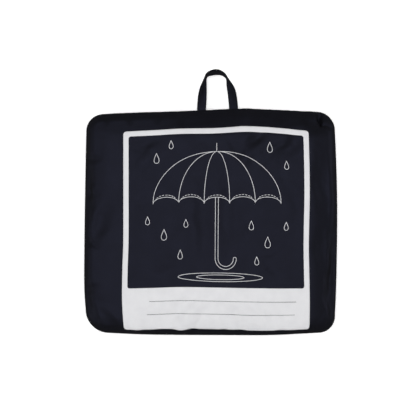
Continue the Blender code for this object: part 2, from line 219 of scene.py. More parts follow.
# Creases, in millimetres along the cloth from its middle. A trough has a negative height. Bow is
# how far the line bends aside at its middle, peak is the share of its length where it is deepest,
# and skew makes one of its banks steeper than the other. At its tips a crease has TIP_WIDTH of
# its width.
Crease = namedtuple("Crease", "start end half_width height bow peak skew", defaults=(0, 0.5, 0))
TIP_WIDTH = 0.6
SEAM_HOLD = 9.0 * MM
SEAM_FADE = 1.5
MAIN_CREASES = [
    Crease((56, 104), (48, 62), 13, -1.7, 3, 0.4, 0.5),
    Crease((28, 52), (66, 90), 12, 1.5, -4, 0.6, -0.5),
    Crease((108, 104), (74, 56), 14, -1.8, 5, 0.3, 0.4),
    Crease((20, 94), (46, 128), 12, 1.5, 2, 0.6, 0.6),
    Crease((-9, 58), (-9, -56), 14, -1.3, -3, 0.5, 0.5),
    Crease((19, 60), (19, -54), 14, -1.3, 3, 0.4, -0.4),
    Crease((118, 78), (120, -2), 13, -1.7, -3, 0.5, 0.4),
    Crease((121, 0), (120, -60), 12, -1.4, 2, 0.4, -0.4),
    Crease((-106, 30), (-128, -34), 13, -1.8, 3, 0.5, 0.5),
    Crease((-2, -76), (-42, -134), 12, 3.2, 3, 0.5, 0.5),
    Crease((2, -82), (42, -122), 11, -2.6, -3, 0.5, 0.5),
    Crease((-14, -74), (-64, -126), 12, -2, 2, 0.5, 0.4),
    Crease((122, 112), (140, 101), 5, -1.6, -1.5, 0.3, 0.3),
    Crease((134, 8), (132, -130), 10.5, -4.2, 0, 0.5),
    Crease((-133, 82), (-133, -10), 9, -2.6, 0, 0.5),
    Crease((-134, -58), (-128, -128), 9, -2.4, 0, 0.5),
]
SMALL_CREASES = [
    Crease((-96, 82), (-48, 92), 9, -0.8, 2),
    Crease((-40, 88), (-92, 48), 10, 0.8, 4),
    Crease((-84, 30), (-60, -20), 10, -0.5, 3),
    Crease((-70, -52), (-24, -40), 11, 0.5, -4),
    Crease((70, 40), (88, -10), 10, 0.5, -4),
    Crease((52, -30), (88, -64), 10, -0.6, 3),
    Crease((60, 100), (40, 70), 6, -0.5, 2),
    Crease((76, 90), (44, 48), 7, 0.6, -3, 0.4, 0.5),
    Crease((94, 100), (66, 72), 6, 0.4, 2),
    Crease((-26, 108), (20, 116), 11, -1.2, -2, 0.5, 0.3),
    Crease((-117, 122), (-112, 104), 6, -0.9, 1, 0.3),
    Crease((-93, 122), (-88, 106), 6, -0.9, -1, 0.3),
    Crease((-56, 122), (-60, 104), 7, -1, 1, 0.3),
    Crease((-37, 122), (-33, 102), 6, -0.9, -1, 0.3),
    Crease((62, 120), (92, 114), 8, -0.9, 1.5),
    Crease((18, 96), (38, 70), 8, -0.7, 1),
    Crease((20, -78), (62, -120), 10, 2.4, 3, 0.5, -0.5),
    Crease((-2, -90), (-26, -126), 6, -0.9, -1, 0.6, 0.5),
    Crease((-44, -78), (-92, -124), 11, 2, 2, 0.5, -0.4),
    Crease((58, -78), (86, -122), 10, -1.8, 2, 0.5, 0.4),
    Crease((6, -102), (34, -126), 7, -1, 2, 0.7, 0.4),
    Crease((-144, 74), (-118, 70), 7, -1.5, 1, 0.3),
    Crease((-144, 34), (-116, 30), 8, -1.4, -1, 0.3),
    Crease((-144, -18), (-114, -26), 8, -1.7, 1, 0.3),
    Crease((-144, -80), (-118, -70), 7, -1.5, -1, 0.3),
    Crease((-122, -92), (-96, -126), 10, -1.2, 2),
    Crease((100, 124), (112, 100), 7, -1.2, 1, 0.4, 0.3),
    Crease((128, 114), (104, 84), 9, -1.3, 2, 0.3, 0.4),
    Crease((133, 70), (133, -30), 7, 0.7, 1),
]

# The one deep fold, where the cloth is gathered into the seam at the corner over the slider.
CORNER_FOLD = [Crease((123.6, 129.5), (125, 102), 5.6, -5.8, 0.5, 0.56, 0.8)]
CORNER_HOLD = 1.5 * MM

# No crease in stuffed cloth is straight: all of them wander sideways on long waves.
Wave = namedtuple("Wave", "height turns_x turns_y phase")
WANDER_X = (Wave(1.7, 0.02, 0.10, 0.4), Wave(0.8, 0.07, 0.26, 1.9))
WANDER_Y = (Wave(1.7, 0.11, 0.03, 2.3), Wave(0.8, 0.24, 0.08, 0.7))


def wandered(places):
    moved = places / MM
    shifts = []
    for waves in (WANDER_X, WANDER_Y):
        shift = np.zeros(len(places))
        for wave in waves:
            turn = moved[:, 0] * wave.turns_x + moved[:, 1] * wave.turns_y + wave.phase
            shift += wave.height * np.sin(turn)
        shifts.append(shift)
    return moved + np.stack(shifts, axis=1)


def straight_places(places):
    return places / MM


def crease_heights(places, moved, creases, reach, hold):
    """How far the creases push each place on the flat cloth out. They die away at its seams, at
    their reach, over the width that the seams hold flat."""
    pushed = np.zeros(len(places))
    for crease in creases:
        start, end = np.array(crease.start), np.array(crease.end)
        length = np.linalg.norm(end - start)
        forward = (end - start) / length
        offset = moved - start
        share = offset @ forward / length
        rise = np.minimum(share / crease.peak, (1.0 - share) / (1.0 - crease.peak))
        rise = np.clip(rise, 0.0, 1.0)
        rise = rise * rise * (3.0 - 2.0 * rise)
        aside = offset[:, 0] * forward[1] - offset[:, 1] * forward[0]
        aside = aside - crease.bow * 4.0 * share * (1.0 - share)
        away = aside / (crease.half_width * (TIP_WIDTH + (1.0 - TIP_WIDTH) * rise))
        section = np.clip(1.0 - away * away, 0.0, 1.0) ** 2 * (1.0 + crease.skew * away)
        pushed += rise * section * crease.height * MM
    to_seam = (np.array(reach) - np.abs(places)).min(1)
    return pushed * np.clip(to_seam / hold, 0.0, 1.0) ** SEAM_FADE


# Puckers and crinkles, in millimetres: the least and most of each measure.
PUCKER_MARGIN, PUCKER_GAP = 12.0, (6.0, 13.0)
PUCKER_REACH, PUCKER_LEAN = (7.0, 17.0), (-4.0, 4.0)
PUCKER_DEPTH, PUCKER_WIDTH, PUCKER_PEAK = (0.15, 0.55), (2.6, 4.4), 0.3
CRINKLE_REACH, CRINKLE_BOW = (9.0, 30.0), (-4.0, 4.0)
CRINKLE_HEIGHT, CRINKLE_WIDTH = (0.06, 0.22), (3.0, 7.0)


def seam_puckers(seed, half_width, half_length):
    """Short soft troughs that run in from the seam, where its thread draws the cloth up."""
    random.seed(seed)
    found = []
    for half_run, edge, turned in (
        (half_width, half_length, False),
        (half_width, -half_length, False),
        (half_length, half_width, True),
        (half_length, -half_width, True),
    ):
        place = -half_run + PUCKER_MARGIN
        while place < half_run - PUCKER_MARGIN:
            reach = random.uniform(*PUCKER_REACH)
            lean = random.uniform(*PUCKER_LEAN)
            depth = random.uniform(*PUCKER_DEPTH)
            start = (place, edge + math.copysign(reach / 4, edge))
            end = (place + lean, edge - math.copysign(reach, edge))
            if turned:
                start, end = start[::-1], end[::-1]
            width = random.uniform(*PUCKER_WIDTH)
            found.append(Crease(start, end, width, -depth, lean / 3, PUCKER_PEAK))
            place += random.uniform(*PUCKER_GAP)
    return found


def crinkles(seed, count, half_width, half_length):
    """Faint long wrinkles all over, left by the folding."""
    random.seed(seed)
    found = []
    for _ in range(count):
        x = random.uniform(-half_width, half_width)
        y = random.uniform(-half_length, half_length)
        turn = random.uniform(0.0, math.pi)
        reach = random.uniform(*CRINKLE_REACH)
        run = (reach * math.cos(turn), reach * math.sin(turn))
        height = random.choice((-1.0, 1.0)) * random.uniform(*CRINKLE_HEIGHT)
        width = random.uniform(*CRINKLE_WIDTH)
        start, end = (x - run[0], y - run[1]), (x + run[0], y + run[1])
        found.append(Crease(start, end, width, height, random.uniform(*CRINKLE_BOW)))
    return found


def cloth_reach(half, rounded):
    """How far the cloth runs from its middle to its widest line."""
    return half - rounded + rounded * math.pi / 2


def evenly(start, end, count):
    return [start + (end - start) * step / count for step in range(count + 1)]


def flat_grid(columns, rows):
    """A flat pattern piece with a grid of lines."""
    flat = bmesh.new()
    bmesh.ops.create_grid(flat, x_segments=len(columns) - 1, y_segments=len(rows) - 1, size=1.0)
    for vert in flat.verts:
        column = round((vert.co.x + 1.0) / 2.0 * (len(columns) - 1))
        row = round((vert.co.y + 1.0) / 2.0 * (len(rows) - 1))
        vert.co = (columns[column], rows[row], 0.0)
    return flat


def lay_on(flat, surface, pushes):
    """Lays a flat piece on a surface and pushes it out. Its flat shape stays as the UV map."""
    cut = flat.loops.layers.uv.new("cloth")
    for face in flat.faces:
        for loop in face.loops:
            loop[cut].uv = loop.vert.co.xy
    for vert in flat.verts:
        vert.co = surface(*vert.co.xy)
    flat.normal_update()
    for vert, push in zip(flat.verts, pushes):
        vert.co += vert.normal * push


def creased(flat, creases, reach, course=wandered, hold=SEAM_HOLD):
    """The push of each place on a flat piece. The course says how the creases run over it."""
    places = np.array([vert.co.xy for vert in flat.verts])
    return crease_heights(places, course(places), creases, reach, hold)


def as_mesh(name, shape):
    mesh = bpy.data.meshes.new(name)
    shape.to_mesh(mesh)
    shape.free()
    return mesh


def stand_in_scene(name, shape):
    """Makes a shape an object of the scene."""
    thing = bpy.data.objects.new(name, as_mesh(name, shape))
    bpy.context.scene.collection.objects.link(thing)
    return thing


def add_piece(name, shape, material, body="pouch"):
    piece = stand_in_scene(name, shape)
    piece.data.shade_smooth()
    piece.data.materials.append(material)
    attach(piece, body)
    return piece


def add_wall(piece, thickness, offset=-1.0):
    wall = piece.modifiers.new("Cloth wall", "SOLIDIFY")
    wall.thickness = thickness
    wall.offset = offset


def colour(red, green, blue):
    """A display colour, 0 to 255, as the shader's linear one."""
    linear = []
    for part in (red, green, blue):
        part /= 255.0
        linear.append(part / 12.92 if part <= 0.04045 else ((part + 0.055) / 1.055) ** 2.4)
    return (*linear, 1.0)


class Nodes:
    """Adds nodes to a tree and joins them: an input is a value, or another node's output."""

    def __init__(self, tree):
        self.tree = tree

    def add(self, kind, settings=None, **inputs):
        node = self.tree.nodes.new(kind)
        for name, value in (settings or {}).items():
            setattr(node, name, value)
        self.set(node, **inputs)
        return node

    def set(self, node, **inputs):
        for name, value in inputs.items():
            self.join(node, name.replace("_", " "), value)

    def join(self, node, name, value):
        socket = node.inputs[int(name)] if name.isdigit() else node.inputs[name]
        if isinstance(value, bpy.types.NodeSocket):
            self.tree.links.new(value, socket)
        else:
            socket.default_value = value

    def sum(self, operation, *values):
        node = self.tree.nodes.new("ShaderNodeMath")
        node.operation = operation
        for place, value in enumerate(values):
            self.join(node, str(place), value)
        return node.outputs[0]

    def mix(self, mask, first, second):
        """The first colour where the mask is 0, and the second where it is 1."""
        node = self.add("ShaderNodeMix", {"data_type": "RGBA"}, Factor=mask)
        self.join(node, "6", first)
        self.join(node, "7", second)
        return node.outputs[2]

    def group(self, tree, **inputs):
        return self.add("ShaderNodeGroup", {"node_tree": tree}, **inputs).outputs[0]

    def on_cloth(self):
        return self.add("ShaderNodeUVMap", {"uv_map": "cloth"}).outputs[0]

    def on_object(self):
        return self.add("ShaderNodeTexCoord").outputs["Object"]


def new_group(name, place, number, result):
    """A node group that reads a place and a number: itself, its nodes, its inputs and its end."""
    group = bpy.data.node_groups.new(name, "ShaderNodeTree")
    group.interface.new_socket(place, in_out="INPUT", socket_type="NodeSocketVector")
    group.interface.new_socket(number, in_out="INPUT", socket_type="NodeSocketFloat")
    group.interface.new_socket(result, in_out="OUTPUT", socket_type="NodeSocketFloat")
    given = group.nodes.new("NodeGroupInput").outputs
    return group, Nodes(group), given, group.nodes.new("NodeGroupOutput")


def plain_weave():
    """Height of a plain weave on the cloth: threads that pass over and under each other."""
    group, nodes, given, end = new_group("plain_weave", "Cloth", "Threads", "Height")
    split = nodes.add("ShaderNodeSeparateXYZ", Vector=given["Cloth"]).outputs
    turn = nodes.sum("MULTIPLY", given["Threads"], math.pi)
    warp = nodes.sum("SINE", nodes.sum("MULTIPLY", split["X"], turn))
    weft = nodes.sum("SINE", nodes.sum("MULTIPLY", split["Y"], turn))
    crossing = nodes.sum("MULTIPLY", warp, weft)
    nodes.set(end, Height=nodes.sum("MULTIPLY_ADD", crossing, 0.5, 0.5))
    return group


def mottle():
    """A soft uneven mask, from 0 to 1, for dye, dust and handling, and for the painted shade
    patches on the white ink.
    """
    group, nodes, given, end = new_group("mottle", "Place", "Scale", "Mask")
    place, scale = given["Place"], given["Scale"]
    noise = nodes.add("ShaderNodeTexNoise", Vector=place, Scale=scale, Detail=4.0)
    nodes.set(end, Mask=noise.outputs[0])
    return group


PLAIN_WEAVE = plain_weave()
MOTTLE = mottle()


def new_material(name):
    """A new material, its nodes and its shader."""
    material = bpy.data.materials.new(name)
    material.use_nodes = True
    tree = material.node_tree
    return material, Nodes(tree), tree.nodes["Principled BSDF"]


CLOTH_ROUGHNESS_SPREAD = 0.12


def woven_material(name, *, dark, light, roughness, gloss, gloss_tint, threads, weave_depth):
    """Woven synthetic cloth: fine weave, faint crinkle and uneven dye."""
    material, nodes, shader = new_material(name)
    cloth = nodes.on_cloth()
    weave = nodes.group(PLAIN_WEAVE, Cloth=cloth, Threads=threads)
    crinkle = nodes.add("ShaderNodeTexNoise", Vector=cloth, Scale=170.0, Detail=5.0, Roughness=0.6)
    broad_bump = nodes.add(
        "ShaderNodeBump", Height=crinkle.outputs[0], Strength=0.35, Distance=0.25 * MM
    )
    fine_bump = nodes.add(
        "ShaderNodeBump",
        Height=weave,
        Strength=0.5,
        Distance=weave_depth,
        Normal=broad_bump.outputs[0],
    )
    uneven = nodes.group(MOTTLE, Place=nodes.on_object(), Scale=55.0)
    nodes.set(
        shader,
        Base_Color=nodes.mix(uneven, dark, light),
        Normal=fine_bump.outputs[0],
        Roughness=nodes.sum("MULTIPLY_ADD", uneven, CLOTH_ROUGHNESS_SPREAD, roughness),
        Specular_IOR_Level=gloss,
        Specular_Tint=gloss_tint,
    )
    return material


CLOTH_WALL = 0.5 * MM
CLOTH_PITCH = 1.5 * MM
SEAM_LINES = (0.33, 0.67, 1.0)
PINCH_PITCH = 0.6 * MM
PINCH_COLUMNS = (114.0 * MM, 132.0 * MM)
PINCH_ROWS = (100.0 * MM, 126.0 * MM)
TAFFETA_THREADS = 3400.0

navy_taffeta = woven_material(
    "navy_taffeta",
    dark=colour(15, 15, 17),
    light=colour(19, 19, 22),
    roughness=0.46,
    gloss=0.13,
    gloss_tint=(0.54, 0.58, 1.0, 1.0),
    threads=TAFFETA_THREADS,
    weave_depth=0.03 * MM,
)
front_reach = (cloth_reach(HALF_WIDTH, FRONT_ROUND), cloth_reach(HALF_LENGTH, FRONT_ROUND))
front_creases = (
    MAIN_CREASES
    + SMALL_CREASES
    + seam_puckers(11, front_reach[0] / MM, front_reach[1] / MM)
    + crinkles(12, count=140, half_width=132.0, half_length=116.0)
)


def cloth_lines(reach):
    """Grid lines from seam to seam. The last three on each side lie in the seam."""
    count = round(2 * reach / CLOTH_PITCH)
    seam = [reach + HEM * share for share in SEAM_LINES]
    return [-place for place in seam[::-1]] + evenly(-reach, reach, count) + seam


def with_fine_lines(lines, low, high, pitch):
    """Grid lines, set closer together between two places."""
    coarse = [line for line in lines if not low - pitch / 2 < line < high + pitch / 2]
    return sorted(coarse + evenly(low, high, round((high - low) / pitch)))


front_columns = with_fine_lines(cloth_lines(front_reach[0]), *PINCH_COLUMNS, PINCH_PITCH)
front_rows = with_fine_lines(cloth_lines(front_reach[1]), *PINCH_ROWS, PINCH_PITCH)
flat_front = flat_grid(front_columns, front_rows)
front_pushes = creased(flat_front, front_creases, front_reach)
front_pushes += creased(flat_front, CORNER_FOLD, front_reach, hold=CORNER_HOLD)
lay_on(flat_front, front_surface, front_pushes)
front_net = {vert.index: vert.co.copy() for vert in flat_front.verts}
front_cloth = add_piece("front_cloth", flat_front, navy_taffeta)
add_wall(front_cloth, CLOTH_WALL)
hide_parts("front_panel")

# ----------------------------------------------
# Back of the pouch. The same taffeta in one piece. It lies on the floor, turns up to the same
# seam, and is cut away along the top for the zip, where its edge is turned in.
BACK_ROUND = 12.0 * MM
BACK_LIP_Z = 4.0 * MM
LIP_TURN_IN = 0.5 * MM
OPENING_HALF = 105.8 * MM
OPENING_END = 108.5 * MM
OPENING_PITCH = 0.35 * MM
BACK_SPREAD = 45.0 * MM


def rolled_rim(roll):
    """How far the back's rim stands in from the pouch's side, under the front's rolled edge."""
    turned = ROLL_ANGLE * roll
    return FRONT_ROUND * (1.0 - math.cos(turned)) + HEM * math.sin(turned)


def back_surface(along_x, along_y):
    """The back's outer face at a place on the flat cloth, as seen from above."""
    u = plan_of(along_x, HALF_WIDTH, BACK_ROUND)
    v = plan_of(along_y, HALF_LENGTH, BACK_ROUND)
    inset = edge_inset(u, v)
    if inset >= BACK_ROUND:
        spread = 1.0 - smooth_step((HALF_LENGTH - v - BACK_ROUND) / BACK_SPREAD)
        u, v = on_outline(u, v, inset)
        return in_world(u, v - rolled_rim(roll_along(u)) * spread, 0.0)
    roll = roll_share(u, v)
    rim_inset = rolled_rim(roll)
    lip_z = SEAM_Z - HEM + (BACK_LIP_Z - SEAM_Z + HEM) * roll
    if inset < 0.0:
        lip = math.pi / 2 * min(-inset / HEM, 1.0)
        inset = rim_inset + SEAM_TUCK * (1.0 - math.cos(lip))
        past_opening = (abs(u) - OPENING_HALF) / (OPENING_END - OPENING_HALF)
        closed = smooth_step(past_opening) if roll else 1.0
        top_z = (lip_z + LIP_TURN_IN) * (1.0 - closed) + (SEAM_Z - SEAM_OPEN) * closed
        z = lip_z + (top_z - lip_z) * math.sin(lip)
    else:
        angle = math.acos(1.0 - inset / BACK_ROUND)
        inset = rim_inset + BACK_ROUND * (1.0 - math.cos(angle))
        z = lip_z * (1.0 - math.sin(angle))
    return in_world(*on_outline(u, v, inset), z)


back_reach = (cloth_reach(HALF_WIDTH, BACK_ROUND), cloth_reach(HALF_LENGTH, BACK_ROUND))
BACK_CREASES = [
    Crease((-70, 60), (-20, 20), 12, 0.5, 4),
    Crease((30, 84), (64, 30), 13, 0.6, -5),
    Crease((-96, -40), (-60, -84), 11, 0.5, 3),
    Crease((20, -30), (84, -66), 12, 0.5, 5),
    Crease((-16, -70), (10, -112), 10, 0.5, 0),
    Crease((104, 40), (122, -6), 10, 0.6, -3),
    Crease((-126, 30), (-110, 66), 10, 0.5, 2),
]
back_columns = cloth_lines(back_reach[0])
for ends in ((-OPENING_END - MM, MM - OPENING_HALF), (OPENING_HALF - MM, OPENING_END + MM)):
    back_columns = with_fine_lines(back_columns, *ends, OPENING_PITCH)
flat_back = flat_grid(back_columns, cloth_lines(back_reach[1]))
back_puckers = seam_puckers(21, back_reach[0] / MM, back_reach[1] / MM)
inward = [crease._replace(height=-crease.height) for crease in back_puckers]
lay_on(flat_back, back_surface, creased(flat_back, BACK_CREASES + inward, back_reach))
bmesh.ops.reverse_faces(flat_back, faces=flat_back.faces)
back_cloth = add_piece("back_cloth", flat_back, navy_taffeta)
add_wall(back_cloth, CLOTH_WALL)
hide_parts("back_panel")

# ----------------------------------------------
# The folded coat. It fills the pouch, its layers one block, and none of it shows while the zip is
# shut. It is of the same taffeta as the pouch.
folded_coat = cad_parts["folded_coat"]
folded_coat.data.materials.clear()
folded_coat.data.materials.append(navy_taffeta)

# ----------------------------------------------
# The print on the front: a frame with a write-on panel, in white rubbery ink screened on the flat
# cloth. It stands a tenth of a millimetre proud and sinks into the weave, so it takes each crease
# of the cloth.
INK_LIFT = 0.12 * MM
INK_THICKNESS = 0.3 * MM
INK_PITCH = 1.4 * MM
PRINT_LEFT, PRINT_RIGHT = -95.6 * MM, 107.3 * MM
PRINT_BOTTOM, PRINT_TOP = -115.1 * MM, 100.8 * MM
BAR = 5.7 * MM
PANEL_HEIGHT = 44.1 * MM
OUTER_CORNER = 3.3 * MM
WINDOW_CORNER = 2.2 * MM
CORNER_STEPS = 6

# How the cloth's pull has shifted the print's sides, in millimetres. Columns: place along the
# side, shift.
LEFT_SHIFT = ((-114, 0), (-92, -0.8), (-52, -0.2), (-20, 0.7), (46, 0.3), (100, -0.2))
RIGHT_SHIFT = ((-114, 1.4), (-90, 1), (-52, -0.3), (-20, -1), (40, 0), (100, 0))
TOP_SHIFT = ((-95, -1.2), (-60, -0.2), (-33, 0.8), (6, 0.2), (44, 1.6), (77, 0.4), (108, -1.4))
BOTTOM_SHIFT = (
    (-95, -0.8), (-66, 0.2), (-33, 1.3), (6, 0.9), (40, -0.2), (77, -0.6), (108, -0.8),
)


def front_cloth_at(x, y):
    """Where a place on the flat cloth lies on the creased front."""
    column = min(bisect_right(front_columns, x), len(front_columns) - 1) - 1
    row = min(bisect_right(front_rows, y), len(front_rows) - 1) - 1
    across = (x - front_columns[column]) / (front_columns[column + 1] - front_columns[column])
    along = (y - front_rows[row]) / (front_rows[row + 1] - front_rows[row])
    first = row * len(front_columns) + column
    near = front_net[first].lerp(front_net[first + 1], across)
    first += len(front_columns)
    far = front_net[first].lerp(front_net[first + 1], across)
    return near.lerp(far, along)


def print_on_front(flat, lift):
    """Shifts straight artwork as the cloth has pulled it, and lays it on the front."""
    for vert in flat.verts:
        x, y = vert.co.xy
        right = (x - PRINT_LEFT) / (PRINT_RIGHT - PRINT_LEFT)
        top = (y - PRINT_BOTTOM) / (PRINT_TOP - PRINT_BOTTOM)
        aside = read_off(LEFT_SHIFT, y / MM) * (1.0 - right)
        aside += read_off(RIGHT_SHIFT, y / MM) * right
        up = read_off(BOTTOM_SHIFT, x / MM) * (1.0 - top)
        up += read_off(TOP_SHIFT, x / MM) * top
        vert.co.xy = (x + aside * MM, y + up * MM)
    lay_on(flat, front_cloth_at, [lift] * len(flat.verts))


def ink_material(name, ink, wear_and_shade_tone):
    """Matt screen ink that lets a little of the weave through, in two tones laid in soft random
    patches. On the white ink the darker patches are partly uneven ink and partly painted shade of
    the panel's soft folds; on the grey ink the lighter patches are worn ink.
    """
    material, nodes, shader = new_material(name)
    cloth = nodes.on_cloth()
    weave = nodes.group(PLAIN_WEAVE, Cloth=cloth, Threads=TAFFETA_THREADS)
    uneven = nodes.group(MOTTLE, Place=cloth, Scale=90.0)
    bump = nodes.add("ShaderNodeBump", Height=weave, Strength=0.3, Distance=0.03 * MM)
    nodes.set(
        shader,
        Base_Color=nodes.mix(uneven, ink, wear_and_shade_tone),
        Normal=bump.outputs[0],
        Roughness=0.6,
        Specular_IOR_Level=0.25,
    )
    return material


# The darker patches of the white ink are painted shade: they stand in for the soft shading of the
# folds on the write-on panel, as well as for uneven ink.
white_ink = ink_material("white_ink", colour(234, 234, 236), colour(219, 219, 222))
grey_ink = ink_material("grey_ink", colour(62, 62, 66), colour(80, 80, 84))


def cut_finely(flat, pitch):
    """Cuts a flat shape along a fine grid, so that it can bend."""
    places = np.array([vert.co.xy for vert in flat.verts])
    low, high = places.min(0), places.max(0)
    for axis, normal in ((0, (1.0, 0.0, 0.0)), (1, (0.0, 1.0, 0.0))):
        for line in evenly(low[axis], high[axis], round((high[axis] - low[axis]) / pitch))[1:-1]:
            everything = flat.verts[:] + flat.edges[:] + flat.faces[:]
            bmesh.ops.bisect_plane(
                flat, geom=everything, dist=1e-7, plane_co=Vector(normal) * line, plane_no=normal
            )
    slanted = []
    for edge in flat.edges:
        run = edge.verts[1].co - edge.verts[0].co
        if not edge.is_boundary and min(abs(run.x), abs(run.y)) > pitch / 1000:
            slanted.append(edge)
    bmesh.ops.dissolve_edges(flat, edges=slanted, use_verts=True)


def round_off(shape, geom, width, segments, affect="EDGES"):
    bmesh.ops.bevel(
        shape,
        geom=geom,
        offset=width,
        segments=segments,
        profile=0.5,
        affect=affect,
        material=-1,
    )


def round_corners(flat, corners, radius):
    """Rounds the corners of a flat shape that lie at these places."""
    found = []
    for vert in flat.verts:
        if any((vert.co.xy - Vector(corner)).length < radius / 10 for corner in corners):
            found.append(vert)
    round_off(flat, found, radius, CORNER_STEPS, affect="VERTICES")


def rounded_outline(flat, left, right, bottom, top, radius, right_radius=None):
    """Adds the outline of a rectangle with round corners, and gives its edges."""
    corners = [(left, bottom), (left, top), (right, top), (right, bottom)]
    face = flat.faces.new([flat.verts.new((*corner, 0.0)) for corner in corners])
    old = set(flat.faces) - {face}
    round_corners(flat, corners[:2], radius)
    round_corners(flat, corners[2:], right_radius or radius)
    (filled,) = set(flat.faces) - old
    edges = filled.edges[:]
    bmesh.ops.delete(flat, geom=[filled], context="FACES_ONLY")
    return edges


window_left, window_right = PRINT_LEFT + BAR, PRINT_RIGHT - BAR
window_bottom, window_top = PRINT_BOTTOM + PANEL_HEIGHT, PRINT_TOP - BAR
frame_flat = bmesh.new()
outer_edges = rounded_outline(
    frame_flat, PRINT_LEFT, PRINT_RIGHT, PRINT_BOTTOM, PRINT_TOP, OUTER_CORNER
)
inner_edges = rounded_outline(
    frame_flat, window_left, window_right, window_bottom, window_top, WINDOW_CORNER
)
bmesh.ops.bridge_loops(frame_flat, edges=outer_edges + inner_edges)
cut_finely(frame_flat, INK_PITCH)
bmesh.ops.recalc_face_normals(frame_flat, faces=frame_flat.faces)
print_on_front(frame_flat, INK_LIFT)
print_frame = add_piece("print_frame", frame_flat, white_ink)
add_wall(print_frame, INK_THICKNESS)

# ----------------------------------------------
# Two dotted lines to write on, in grey ink that is screened on the white panel once it is dry.
# Each dot is a small disc of ink.
DOT_PITCH = 1.1 * MM
DOT_RADIUS = 0.42 * MM
DOT_LIFT = 0.14 * MM
DotLine = namedtuple("DotLine", "left right y")
DOT_LINES = (
    DotLine(-66.0 * MM, 92.2 * MM, -85.4 * MM),
    DotLine(-69.0 * MM, 90.4 * MM, -99.1 * MM),
)


def make_copies(unit, places):
    """One shape made of copies of a small one, one at each place."""
    mesh = as_mesh("unit", unit)
    made = bmesh.new()
    for place in places:
        copy = mesh.copy()
        copy.transform(place)
        made.from_mesh(copy)
        bpy.data.meshes.remove(copy)
    bpy.data.meshes.remove(mesh)
    return made


dot_places = []
for line in DOT_LINES:
    for x in evenly(line.left, line.right, round((line.right - line.left) / DOT_PITCH)):
        dot_places.append(Matrix.Translation((x, line.y, 0.0)))
dot = bmesh.new()
bmesh.ops.create_circle(dot, cap_ends=True, segments=8, radius=DOT_RADIUS)
dots = make_copies(dot, dot_places)
print_on_front(dots, INK_LIFT + DOT_LIFT)
print_dots = add_piece("print_dots", dots, grey_ink)
add_wall(print_dots, INK_THICKNESS)

# ----------------------------------------------
# The drawing in the frame: an umbrella in the rain over a puddle, in thin white outlines. They
# are of the same ink, screened with the frame. Its measures are in millimetres from the drawing's
# middle.
STROKE = 0.55 * MM
STROKE_PITCH = 1.2 * MM
DRAWING_X = 6.6
CANOPY_RISE, CANOPY_FOOT = 56.0, 20.0
RIB_ENDS = (-70, -42, -14, 14, 42, 70)
SCALLOP = 7.0
HEM_ROW = 2.4
HEM_ROW_ENDS = (165.0, 15.0)
FERRULE = 9.0
SHAFT_HALF, SHAFT_FOOT, CROOK = 1.6, -40.0, 10.0
DROP_WIDTH, DROP_POINT, DROP_STEPS = 0.36, 1.6, 28
PUDDLE_MIDDLE = (4.0, -60.0)
PUDDLE_RINGS = ((46.0, 4.6), (26.0, 2.5))
FEWEST_ARC_STEPS = 8

strokes = bmesh.new()


def stroke(points, closed=False):
    """Adds a ribbon of ink along a line of points."""
    line = [Vector((x + DRAWING_X, y)) * MM for x, y in points]
    if closed:
        line.append(line[0])
    ribbon = flat_grid(evenly(0.0, 1.0, len(line) - 1), (-1.0, 1.0))
    last = len(line) - 1
    for vert in ribbon.verts:
        place = round(vert.co.x * last)
        if closed:
            before, after = line[(place - 1) % last], line[(place + 1) % last]
        else:
            before, after = line[max(place - 1, 0)], line[min(place + 1, last)]
        run = (after - before).normalized()
        aside = Vector((-run.y, run.x)) * vert.co.y * STROKE / 2
        vert.co = (*(line[place] + aside), 0.0)
    if closed:
        bmesh.ops.remove_doubles(ribbon, verts=ribbon.verts, dist=STROKE / 100)
    mesh = as_mesh("ribbon", ribbon)
    strokes.from_mesh(mesh)
    bpy.data.meshes.remove(mesh)


def arc(centre, radii, start, end):
    """Points along an ellipse, angles in degrees, about as far apart as the stroke's pitch."""
    length = math.radians(abs(end - start)) * max(radii) * MM
    points = []
    for angle in evenly(start, end, max(FEWEST_ARC_STEPS, round(length / STROKE_PITCH))):
        turn = math.radians(angle)
        across, up = radii[0] * math.cos(turn), radii[1] * math.sin(turn)
        points.append((centre[0] + across, centre[1] + up))
    return points


def dashed(points):
    """A broken stroke: two pitches on, one off."""
    for first in range(0, len(points) - 2, 3):
        stroke(points[first : first + 3])


def straight(start, end):
    count = max(1, round(math.dist(start, end) * MM / STROKE_PITCH))
    return list(zip(evenly(start[0], end[0], count), evenly(start[1], end[1], count)))


# Canopy: outer edge, ribs, and the scallops between them with a row of stitches over each.
for rib_end in RIB_ENDS:
    quarter = arc((0.0, CANOPY_FOOT), (abs(rib_end), CANOPY_RISE), 90.0, 0.0)
    stroke([(math.copysign(x, rib_end), y) for x, y in quarter])
for left, right in zip(RIB_ENDS, RIB_ENDS[1:]):
    half = (right - left) / 2
    stroke(arc((left + half, CANOPY_FOOT), (half, SCALLOP), 180.0, 0.0))
    dashed(arc((left + half, CANOPY_FOOT + HEM_ROW), (half - HEM_ROW, SCALLOP), *HEM_ROW_ENDS))

# Ferrule, shaft and crook.
canopy_top = CANOPY_FOOT + CANOPY_RISE
stroke(straight((0.0, canopy_top), (0.0, canopy_top + FERRULE)))
outer_radius, inner_radius = CROOK + SHAFT_HALF, CROOK - SHAFT_HALF
outer_bend = arc((CROOK, SHAFT_FOOT), (outer_radius, outer_radius), 180.0, 360.0)
inner_bend = arc((CROOK, SHAFT_FOOT), (inner_radius, inner_radius), 360.0, 180.0)
shaft_top = CANOPY_FOOT + SCALLOP
outer_side = straight((-SHAFT_HALF, shaft_top), (-SHAFT_HALF, SHAFT_FOOT))
inner_side = straight((SHAFT_HALF, SHAFT_FOOT), (SHAFT_HALF, shaft_top))
tip = arc((2 * CROOK, SHAFT_FOOT), (SHAFT_HALF, SHAFT_HALF), 0.0, 180.0)
stroke(outer_side + outer_bend[1:] + tip[1:-1] + inner_bend + inner_side[1:])

